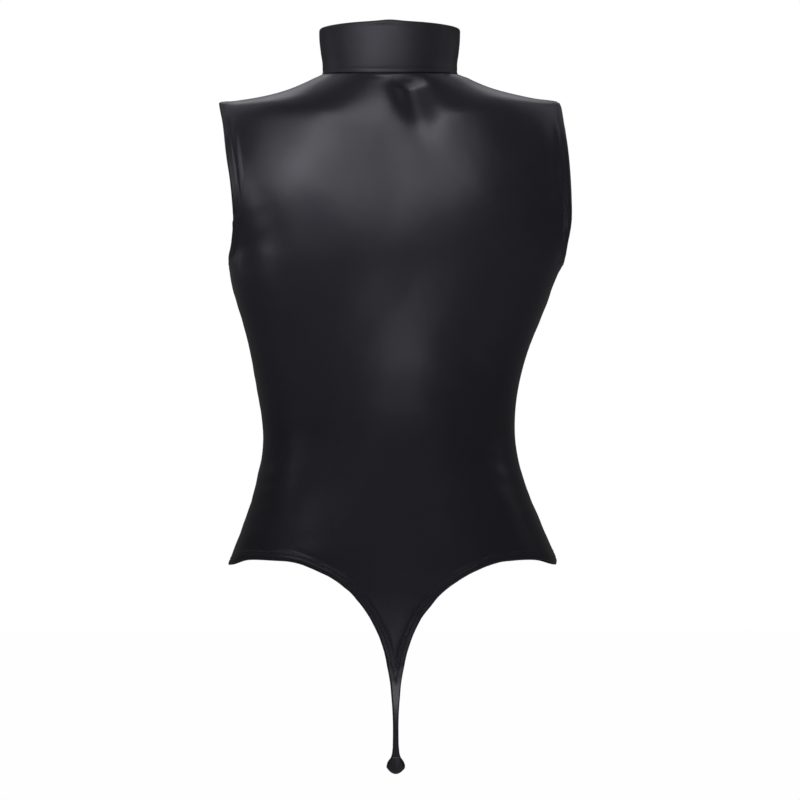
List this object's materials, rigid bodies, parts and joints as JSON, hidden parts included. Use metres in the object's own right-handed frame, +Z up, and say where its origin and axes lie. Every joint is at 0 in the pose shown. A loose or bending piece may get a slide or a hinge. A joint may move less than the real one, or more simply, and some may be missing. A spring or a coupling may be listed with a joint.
{
  "type": "leotard",
  "caption": "Sleeveless high-neck leotard in glossy coated stretch fabric, with a thong back, hemmed armholes and leg openings, and a front zip; in its worn shape",
  "frame": {"origin": "centre of the neck opening at the height of the collar seam, on the plane between the wearer's left and right", "axes": "+Z is up towards the head, the wearer faces -Y, and +X is the wearer's left side"},
  "size_m": [0.3496, 0.1879, 0.7233],
  "materials": {
    "coated_fabric": "glossy coated",
    "seam_tape": "matt knit",
    "lining": "matt knit",
    "label": "satin woven, blank",
    "zip_tape": "matt woven",
    "zip_coil": "semi-gloss",
    "zip_metal": "gloss black"
  },
  "bodies": {
    "garment": {"back_panel": "coated_fabric", "front_panel_left": "coated_fabric", "front_panel_right": "coated_fabric", "collar": "coated_fabric", "crotch_gusset": "coated_fabric", "gusset_lining": "lining", "armhole_hem_left": "coated_fabric", "armhole_hem_right": "coated_fabric", "leg_hem_left": "coated_fabric", "leg_hem_right": "coated_fabric", "shoulder_tape_left": "seam_tape", "shoulder_tape_right": "seam_tape", "side_seam_tape_left": "seam_tape", "side_seam_tape_right": "seam_tape", "neck_seam_tape": "seam_tape", "centre_seam_tape": "seam_tape", "neck_label": "label", "care_label": "label", "zip_tape_left": "zip_tape", "zip_tape_right": "zip_tape", "zip_coil_left": "zip_coil", "zip_coil_right": "zip_coil", "zip_top_stop_left": "zip_metal", "zip_top_stop_right": "zip_metal", "zip_bottom_stop": "zip_metal"},
    "slider": {"zip_slider": "zip_metal"},
    "pull": {"zip_pull": "zip_metal"}
  },
  "joints": [
    {"name": "zip_travel", "type": "hinge", "parent": "garment", "child": "slider", "pos_m": [0, 1.0157, -0.1947], "axis": [1, 0, 0], "range_deg": [0, 20.68]},
    {"name": "pull_swing", "type": "hinge", "parent": "slider", "child": "pull", "pos_m": [0, -0.06573, 0.02442], "axis": [-1, 0, 0], "range_deg": [0, 160]}
  ]
}
